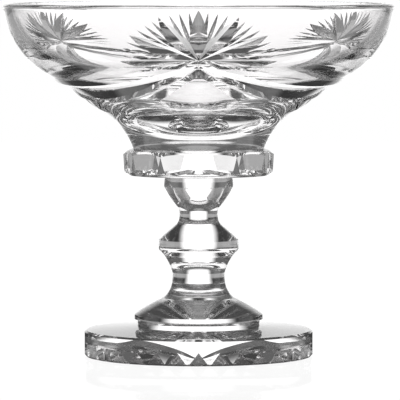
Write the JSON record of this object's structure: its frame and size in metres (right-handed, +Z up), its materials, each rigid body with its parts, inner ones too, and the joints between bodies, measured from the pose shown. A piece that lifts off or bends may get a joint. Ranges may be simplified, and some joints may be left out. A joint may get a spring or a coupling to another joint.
{
  "type": "footed bowl",
  "caption": "Footed cut crystal bowl: wide flared bowl with ray fans and swags, faceted collar, knopped stem and thick disc foot with a star cut underneath.",
  "frame": {"origin": "middle of the underside of the foot", "axes": "+Z up along the axis of the bowl and stem; one ray fan faces -Y"},
  "size_m": [0.2532, 0.2532, 0.228],
  "materials": {
    "crystal": "clear lead crystal, polished all over, cut work polished, resting ring lightly worn"
  },
  "bodies": {
    "root": {"footed_bowl": "crystal"}
  },
  "joints": []
}
